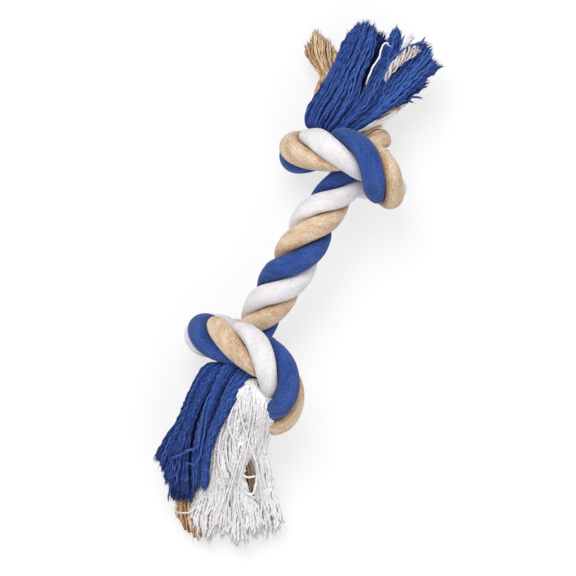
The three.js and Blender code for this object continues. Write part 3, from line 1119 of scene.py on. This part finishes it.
# The yarns of each bunch, in the photograph's pixels. First the upper tassel's blue ones: the
# deep lock, the four over it from left to right, and the loose threads.
UPPER_BLUE_LOCKS = (
    Lock(
        ((318, 122, 362, 131, -0.35, 0.3), (330, 104, 386, 114, -0.4, 0.32),
         (346, 80, 398, 98, -0.56, 0.32), (360, 55, 402, 80, -0.76, 0.3),
         (372, 36, 408, 64, -0.92, 0.28), (380, 20, 416, 46, -1.04, 0.26)),
        ((379, 31), (385, 31), (387, 38), (392, 46), (400, 56), (408, 68)),
        # Painted shade: the deep lock is drawn very dark, as the shade under the others.
        tone=0.06,
    ),
    Lock(
        ((306, 124, 333, 131, 0.05, 0.36), (308, 108, 346, 116, 0.14, 0.44),
         (318, 92, 357, 99, 0.12, 0.44), (331, 68, 362, 78, 0.0, 0.42),
         (341, 47, 371, 58, -0.16, 0.38), (350, 30, 376, 37, -0.32, 0.34),
         (360, 12, 380, 18, -0.46, 0.3)),
        ((350, 32), (354, 27), (359, 24), (363, 22), (369, 21), (370, 27), (374, 25), (377, 32)),
        (0.0, 0.55), 0.44,
    ),
    Lock(
        ((333, 131, 345, 132, 0.08, 0.3), (345, 115, 366, 118, 0.14, 0.36),
         (359, 98, 382, 104, 0.1, 0.36), (370, 78, 388, 86, 0.0, 0.34),
         (378, 62, 396, 70, -0.12, 0.3), (385, 45, 402, 54, -0.26, 0.28),
         (391, 28, 404, 34, -0.4, 0.24), (394, 14, 408, 20, -0.48, 0.22)),
        ((387, 40), (391, 33), (393, 29), (396, 27), (400, 31), (401, 38), (405, 42)),
        (0.45, 0.7), 0.4,
    ),
    Lock(
        ((340, 132, 353, 132, 0.0, 0.3), (358, 117, 374, 120, 0.06, 0.36),
         (376, 100, 392, 107, 0.04, 0.38), (388, 84, 409, 94, -0.04, 0.36),
         (400, 66, 423, 82, -0.16, 0.32), (413, 48, 438, 70, -0.3, 0.28),
         (426, 30, 456, 54, -0.42, 0.24)),
        ((412, 48), (418, 40), (421, 43), (425, 40), (430, 45), (430, 52), (434, 58), (436, 65),
         (444, 66), (440, 71), (432, 77)),
        (0.6, 0.9), 0.48,
    ),
    Lock(
        ((346, 132, 356, 132, -0.15, 0.26), (366, 120, 377, 118, -0.18, 0.3),
         (380, 104, 392, 107, -0.24, 0.32), (398, 90, 405, 102, -0.32, 0.3),
         (416, 78, 418, 93, -0.42, 0.26), (436, 70, 436, 84, -0.52, 0.22)),
        ((426, 79), (427, 83), (427, 87), (421, 89), (414, 94), (410, 98)),
        (0.75, 1.0), 0.4,
    ),
)
UPPER_BLUE_WISPS = (
    Wisp(((370, 100, 0.1), (392, 62, -0.1), (400, 46, -0.25), (404, 36, -0.35))),
    Wisp(
        ((374, 94, 0.22), (384, 74, 0.18), (392, 59, 0.14), (403, 50, 0.02), (415, 44, -0.12),
         (424, 41, -0.26)),
    ),
    Wisp(((380, 104, 0.1), (404, 72, -0.05), (418, 48, -0.3), (425, 37, -0.4))),
    Wisp(((376, 110, 0.0), (398, 99, -0.3), (412, 96, -0.42), (422, 97, -0.5))),
    Wisp(((376, 112, -0.05), (392, 104, -0.3), (403, 99, -0.4), (413, 101, -0.5))),
)
# The upper tan bunch, and the two small wisps behind the knot.
UPPER_TAN_LOCKS = (
    Lock(
        ((314, 116, 336, 122, -0.5, 0.3), (314, 98, 336, 104, -0.66, 0.34),
         (317, 84, 337, 90, -0.8, 0.36), (321, 73, 339, 76, -0.94, 0.34),
         (314, 63, 338, 68, -1.04, 0.34), (307, 52, 338, 58, -1.14, 0.32),
         (305, 38, 338, 44, -1.25, 0.3), (306, 22, 335, 26, -1.38, 0.26)),
        ((306, 54), (306, 44), (310, 39), (313, 36), (314, 29), (317, 27), (320, 31), (323, 34),
         (327, 34), (330, 37), (333, 44), (337, 50)),
        tone=0.33,
    ),
)
UPPER_TAN_WISPS = (
    Wisp(
        ((346, 136, -0.6), (360, 127, -0.38), (374, 118, -0.18), (386, 110, -0.16),
         (399, 106, -0.34)),
        yarns=14, radius_mm=1.7, turns=0.3, tone=0.3,
    ),
    Wisp(
        ((346, 142, -0.6), (357, 137, -0.46), (367, 132, -0.4), (374, 129, -0.42),
         (380, 128, -0.52)),
        yarns=26, radius_mm=2.9, turns=0.3, tone=0.62,
    ),
)
# The upper white bunch: its plied lock, the tips beyond it, the hooked thread, and the small
# wisps by the knot.
UPPER_WHITE_LOCKS = (
    Lock(
        ((352, 118, 366, 128, -0.55, 0.3), (368, 96, 388, 110, -0.82, 0.34),
         (384, 72, 404, 90, -1.15, 0.32), (400, 50, 420, 70, -1.45, 0.26)),
        ((400, 52), (404, 46), (409, 42), (412, 46), (412, 60), (410, 78)),
    ),
)
UPPER_WHITE_WISPS = (
    Wisp(
        ((369, 100, -0.5), (384, 78, 0.02), (393, 67, 0.1), (404, 57, 0.04), (416, 47, -0.2)),
        yarns=24, radius_mm=2.3, flare=0.35, turns=1.0, plies=3, ply_turns=5.0, tone=0.06,
        thickness=0.7,
    ),
    Wisp(
        ((372, 98, -0.6), (390, 72, -0.34), (401, 51, -0.26), (406, 44, -0.24), (412, 36, -0.28)),
        yarns=14, radius_mm=1.3, turns=0.4, tone=0.5, thickness=0.7,
    ),
    Wisp(
        ((364, 92, -0.2), (369, 76, 0.28), (373, 67, 0.3), (379, 58, 0.22), (381, 50, 0.12),
         (384, 44, 0.08), (387, 43, 0.08), (389, 46, 0.06)),
        tone=0.95, thickness=0.8,
    ),
    Wisp(
        ((350, 134, 0.0), (362, 128, 0.06), (373, 121, 0.06), (380, 113, 0.04), (387, 106, 0.0)),
        yarns=3, radius_mm=0.6, turns=0.6, tone=0.85,
    ),
    Wisp(
        ((352, 134, -0.1), (366, 127, -0.06), (378, 121, -0.1), (391, 115, -0.2), (401, 106, -0.34),
         (407, 102, -0.42)),
        yarns=7, radius_mm=1.3, turns=0.4, tone=0.7, thickness=0.8,
    ),
    Wisp(
        ((354, 134, -0.12), (368, 127, -0.08), (377, 123, -0.08), (386, 120, -0.14),
         (392, 116, -0.22)),
        yarns=3, radius_mm=0.7, turns=0.6, tone=0.6, thickness=0.8,
    ),
)
# The lower blue bunch: the deep lock, and the three over it from left to right.
LOWER_BLUE_LOCKS = (
    Lock(
        ((212, 368, 250, 382, 0.05, 0.3), (198, 390, 231, 406, -0.02, 0.3),
         (188, 416, 216, 430, -0.22, 0.32), (178, 442, 208, 456, -0.45, 0.3),
         (170, 470, 206, 480, -0.7, 0.28), (166, 500, 200, 510, -0.95, 0.26)),
        ((168, 490), (170, 499), (176, 502), (190, 500), (194, 490), (200, 482)),
        # Painted shade: the deep lock is drawn darker, as the shade under the others.
        tone=0.2,
    ),
    Lock(
        ((208, 364, 228, 366, 0.24, 0.34), (195, 380, 211, 386, 0.32, 0.38),
         (186, 400, 201, 406, 0.22, 0.4), (177, 421, 192, 429, 0.02, 0.38),
         (165, 438, 189, 452, -0.2, 0.34), (154, 458, 188, 478, -0.44, 0.3),
         (146, 484, 187, 506, -0.68, 0.28)),
        ((154, 459), (158, 461), (161, 468), (162, 476), (165, 483), (169, 485), (172, 484),
         (178, 488), (184, 494), (189, 496)),
        (0.0, 0.6), 0.36,
    ),
    Lock(
        ((226, 363, 240, 368, 0.38, 0.3), (213, 384, 224, 388, 0.38, 0.34),
         (205, 405, 216, 409, 0.24, 0.38), (196, 430, 207, 434, 0.0, 0.38),
         (192, 452, 203, 455, -0.25, 0.34), (191, 476, 201, 479, -0.5, 0.28),
         (191, 502, 201, 503, -0.72, 0.24)),
        ((192, 490), (196, 488), (199, 486), (201, 488)),
        (0.4, 0.7), 0.44,
    ),
    Lock(
        ((240, 368, 255, 377, 0.42, 0.28), (225, 388, 243, 390, 0.42, 0.32),
         (217, 409, 229, 413, 0.3, 0.36), (207, 433, 216, 436, 0.03, 0.36),
         (202, 454, 210, 456, -0.23, 0.32), (200, 478, 208, 480, -0.48, 0.28),
         (200, 503, 208, 504, -0.7, 0.24)),
        ((201, 487), (204, 490), (207, 486)),
        (0.65, 1.0), 0.46,
    ),
)
LOWER_BLUE_WISPS = (
    Wisp(((196, 392, 0.3), (180, 440, -0.2), (171, 480, -0.7), (167, 501, -0.9))),
    Wisp(
        ((212, 392, 0.4), (200, 430, 0.24), (196, 448, 0.06), (189, 450, 0.0), (180, 455, -0.06),
         (172, 458, -0.16)),
    ),
    Wisp(
        ((214, 396, 0.4), (203, 440, 0.14), (198, 460, -0.04), (194, 465, -0.1), (188, 463, -0.1)),
    ),
)
# The lower white bunch: four locks from left to right, and the deep one under them.
LOWER_WHITE_LOCKS = (
    Lock(
        ((240, 389, 250, 384, 0.42, 0.3), (227, 410, 238, 413, 0.16, 0.34),
         (216, 432, 227, 439, -0.24, 0.36), (209, 449, 219, 456, -0.45, 0.36),
         (207, 470, 219, 478, -0.7, 0.36), (198, 490, 218, 498, -0.95, 0.36),
         (187, 509, 216, 520, -1.16, 0.34), (179, 532, 214, 550, -1.32, 0.3)),
        ((184, 513), (188, 519), (193, 524), (198, 532), (201, 541), (206, 546), (208, 550),
         (211, 545), (213, 538)),
        (0.0, 0.4), 0.68,
    ),
    Lock(
        ((245, 384, 254, 380, 0.46, 0.28), (234, 404, 244, 405, 0.28, 0.34),
         (224, 424, 234, 428, -0.02, 0.36), (217, 446, 225, 448, -0.26, 0.34),
         (217, 468, 229, 470, -0.54, 0.34), (218, 490, 233, 490, -0.82, 0.34),
         (214, 514, 234, 514, -1.08, 0.34), (210, 544, 236, 546, -1.3, 0.3)),
        ((214, 536), (217, 531), (221, 541), (226, 536), (230, 541), (233, 545)),
        (0.2, 0.6), 0.78,
    ),
    Lock(
        ((247, 381, 257, 382, 0.48, 0.28), (242, 402, 254, 404, 0.36, 0.36),
         (233, 424, 257, 424, 0.06, 0.38), (229, 446, 255, 448, -0.18, 0.38),
         (230, 468, 243, 470, -0.46, 0.36), (232, 490, 248, 492, -0.74, 0.34),
         (231, 514, 260, 514, -1.0, 0.34), (228, 544, 268, 542, -1.24, 0.3)),
        ((230, 541), (233, 545), (237, 549), (241, 547), (244, 549), (247, 543), (249, 534),
         (252, 536), (256, 541), (259, 536)),
        (0.4, 0.8), 0.8,
    ),
    Lock(
        ((250, 381, 262, 390, 0.5, 0.26), (253, 398, 275, 402, 0.62, 0.32),
         (252, 412, 276, 414, 0.46, 0.36), (251, 430, 269, 431, 0.0, 0.36),
         (251, 452, 267, 452, -0.4, 0.34), (256, 472, 269, 474, -0.68, 0.34),
         (254, 494, 274, 494, -0.94, 0.32), (254, 516, 280, 514, -1.14, 0.3),
         (252, 544, 289, 537, -1.32, 0.28)),
        ((259, 532), (264, 538), (267, 532), (271, 533), (275, 534), (277, 528), (283, 528)),
        (0.6, 1.0), 0.78,
    ),
    Lock(
        ((240, 390, 262, 392, 0.0, 0.26), (228, 414, 262, 414, -0.26, 0.3),
         (220, 440, 260, 440, -0.56, 0.3), (212, 470, 242, 470, -1.0, 0.3),
         (206, 505, 244, 505, -1.35, 0.26), (202, 540, 262, 536, -1.5, 0.22)),
        ((204, 526), (215, 532), (230, 534), (245, 532), (256, 528)),
        # Painted shade: the deep lock is drawn darker, as the shade under the others.
        tone=0.36,
    ),
)
# Fine threads that cross over the lower white locks.
CROSSING_PATHS = (
    ((232, 410, 0.42), (226, 440, 0.02), (228, 465, -0.24), (238, 485, -0.48), (247, 495, -0.6),
     (256, 500, -0.7)),
    ((252, 402, 0.58), (246, 440, 0.1), (236, 470, -0.24), (228, 500, -0.66), (222, 530, -1.02)),
    ((240, 402, 0.5), (248, 440, 0.08), (257, 466, -0.2), (263, 505, -0.82), (271, 530, -1.06)),
    ((256, 404, 0.62), (250, 436, 0.14), (245, 458, -0.1), (238, 490, -0.5), (242, 532, -0.98)),
    ((228, 420, 0.26), (236, 450, -0.02), (231, 480, -0.44), (222, 505, -0.8), (214, 530, -1.08)),
    ((262, 406, 0.68), (262, 440, 0.0), (256, 462, -0.28), (262, 500, -0.74), (259, 530, -1.04)),
    ((222, 430, 0.12), (218, 460, -0.24), (224, 490, -0.62), (216, 520, -0.96), (206, 542, -1.16)),
    ((216, 445, -0.12), (213, 470, -0.46), (207, 495, -0.8), (201, 520, -1.0), (203, 542, -1.16)),
)
LOWER_WHITE_WISPS = (
    *(Wisp(path, tone=0.7, thickness=0.7) for path in CROSSING_PATHS),
    Wisp(
        ((240, 400, 0.4), (234, 440, 0.04), (238, 466, -0.24), (243, 476, -0.44), (247, 478, -0.44),
         (256, 477, -0.5)),
        tone=0.8, thickness=0.8,
    ),
    Wisp(
        ((254, 400, 0.4), (252, 440, 0.04), (256, 466, -0.34), (256, 484, -0.54), (251, 496, -0.62),
         (245, 493, -0.66)),
        tone=0.8, thickness=0.8,
    ),
    Wisp(
        ((226, 414, 0.1), (212, 460, -0.4), (204, 490, -0.84), (196, 508, -0.98), (187, 515, -1.0),
         (178, 515, -1.0)),
        tone=0.9, thickness=0.5,
    ),
)
# The lower tan bunch: the lock that shows, and the deep one under the white yarns.
LOWER_TAN_LOCKS = (
    Lock(
        ((214, 404, 230, 412, -0.42, 0.26), (202, 434, 222, 440, -0.8, 0.3),
         (188, 466, 210, 472, -1.1, 0.3), (175, 500, 199, 504, -1.2, 0.34),
         (173, 518, 201, 520, -1.26, 0.34), (178, 550, 208, 552, -1.36, 0.3)),
        ((174, 518), (178, 523), (182, 529), (185, 535), (188, 538), (191, 536), (194, 542),
         (198, 539), (201, 535)),
        (0.0, 0.6), 0.4,
    ),
    Lock(
        ((226, 408, 240, 412, -0.6, 0.26), (220, 440, 246, 442, -0.96, 0.28),
         (214, 472, 254, 474, -1.3, 0.26), (210, 506, 260, 508, -1.5, 0.24),
         (208, 540, 262, 540, -1.56, 0.22)),
        ((214, 530), (219, 538), (223, 536), (240, 528), (258, 522)),
        (0.4, 1.0), 0.5,
    ),
)
BUNCHES = (
    YarnBunch(
        Dye.BLUE,
        RopeEnd.UPPER,
        UPPER_BLUE_LOCKS,
        UPPER_BLUE_WISPS,
        clump_share=0.12,
        tuft_lift_mm=0.22,
        wander=0.045,
        tone_spread=0.08,
        seed=21,
    ),
    YarnBunch(
        Dye.TAN,
        RopeEnd.UPPER,
        UPPER_TAN_LOCKS,
        UPPER_TAN_WISPS,
        clump_share=0.1,
        tuft_ragged_mm=0.5,
        yarn_ragged_mm=0.3,
        tuft_wave_mm=0.2,
        tone_spread=0.15,
        seed=22,
    ),
    YarnBunch(
        Dye.WHITE,
        RopeEnd.UPPER,
        UPPER_WHITE_LOCKS,
        UPPER_WHITE_WISPS,
        seed=23,
    ),
    YarnBunch(
        Dye.BLUE,
        RopeEnd.LOWER,
        LOWER_BLUE_LOCKS,
        LOWER_BLUE_WISPS,
        seed=31,
    ),
    YarnBunch(
        Dye.WHITE,
        RopeEnd.LOWER,
        LOWER_WHITE_LOCKS,
        LOWER_WHITE_WISPS,
        yarn_mm=1.35,
        fullness=1.2,
        tuft_wave_mm=0.5,
        tuft_ragged_mm=1.2,
        yarn_ragged_mm=0.8,
        tuft_lift_mm=0.45,
        edge_shade=0.6,
        fibre_reach_mm=3.0,
        seed=32,
    ),
    YarnBunch(
        Dye.TAN,
        RopeEnd.LOWER,
        LOWER_TAN_LOCKS,
        yarn_mm=1.7,
        tuft_width=2,
        clump_share=0.1,
        tuft_ragged_mm=1.2,
        yarn_ragged_mm=0.3,
        ply_share=0.22,
        twist_mm=9.0,
        edge_shade=0.0,
        end_fibres=1,
        tone_spread=0.17,
        seed=33,
    ),
)


@dataclass(frozen=True)
class Lamp:
    """A soft square lamp that faces the toy."""

    name: str
    # Its place and its side in metres, and its power in watts.
    place: Point
    size: float
    power: float

    def build(self) -> None:
        """Hang the lamp and turn it to the toy."""
        data = bpy.data.lights.new(self.name, "AREA")
        data.size = self.size
        data.energy = self.power
        lamp = place_object(self.name, data)
        lamp.location = self.place
        right, along, up = self.place
        lean = math.atan2(math.hypot(right, along), up)
        lamp.rotation_euler = (0.0, lean, math.atan2(along, right))


@dataclass
class Studio:
    """A pale floor, soft light and the camera of the photograph."""

    photo_px: int = 576
    camera_height: float = 2.2
    sensor_mm: float = 36.0
    floor_size: float = 1.0
    glow_share: float = 0.55
    glow_strength: float = 1.12
    world_strength: float = 0.54
    lamps: Sequence[Lamp] = (
        Lamp("key", (-0.75, 0.55, 1.5), size=1.1, power=18.4),
        Lamp("fill", (0.9, -0.5, 1.3), size=1.3, power=6.5),
    )

    def build(self) -> None:
        """Build the camera first, then the light and the floor."""
        self._camera()
        self._world()
        for lamp in self.lamps:
            lamp.build()
        self._floor()

    def _camera(self) -> None:
        """Look straight down, turned so that the rope lies as in the photograph."""
        data = bpy.data.cameras.new("camera")
        data.sensor_width = self.sensor_mm
        frame_width = self.photo_px * PIXEL * MM
        reach = self.camera_height - ROUTE_SHIFT[2] * MM
        data.lens = self.sensor_mm * reach / frame_width
        data.clip_end = 20.0
        middle = np.array(self.photo_px / 2)
        aim = from_photo(middle, middle, np.array(0.0)) * MM
        camera = place_object("camera", data)
        camera.location = (aim[0], aim[1], self.camera_height)
        camera.rotation_euler = (0.0, 0.0, PHOTO_TURN)
        bpy.context.scene.camera = camera

    def _world(self) -> None:
        """Light everything evenly, and show white where nothing else is."""
        world = bpy.data.worlds.new("studio")
        tree = empty_tree(world)
        path = add_node(tree, "LightPath").outputs["Is Camera Ray"]
        soft, white = (
            add_node(tree, "Background", Color=linear(colour), Strength=strength).outputs[0]
            for colour, strength in (("#f7f8fa", self.world_strength), ("#ffffff", 1.0))
        )
        mix = add_node(tree, "MixShader", Fac=path, i1=soft, i2=white)
        add_node(tree, "OutputWorld", Surface=mix.outputs[0])
        bpy.context.scene.world = world

    def _floor(self) -> None:
        """Lay the white floor, which glows for the camera and keeps the toy's soft shadow."""
        half = self.floor_size / 2
        mesh = bpy.data.meshes.new("floor")
        corners = [(-half, -half, 0), (half, -half, 0), (half, half, 0), (-half, half, 0)]
        mesh.from_pydata(corners, [], [(0, 1, 2, 3)])
        material = bpy.data.materials.new("white_card")
        tree = empty_tree(material)
        card = add_node(tree, "BsdfDiffuse", Color=linear("#f4f4f4"), Roughness=1.0).outputs[0]
        path = add_node(tree, "LightPath").outputs["Is Camera Ray"]
        glow = add_node(
            tree, "Emission", Color=linear("#ffffff"), Strength=self.glow_strength
        ).outputs[0]
        seen = add_node(tree, "MixShader", Fac=self.glow_share, i1=card, i2=glow).outputs[0]
        pick = add_node(tree, "MixShader", Fac=path, i1=card, i2=seen)
        add_node(tree, "OutputMaterial", Surface=pick.outputs[0])
        mesh.materials.append(material)
        place_object("floor", mesh)


def main() -> None:
    """Build the studio and the toy."""
    logging.basicConfig(level=logging.INFO, format="%(message)s")
    bpy.context.scene.view_settings.view_transform = "Standard"
    Studio().build()
    route = RopeRoute()
    for dye in Dye:
        Strand(dye, route).build()
    for bunch in BUNCHES:
        bunch.build(route)


if __name__ == "__main__":
    main()
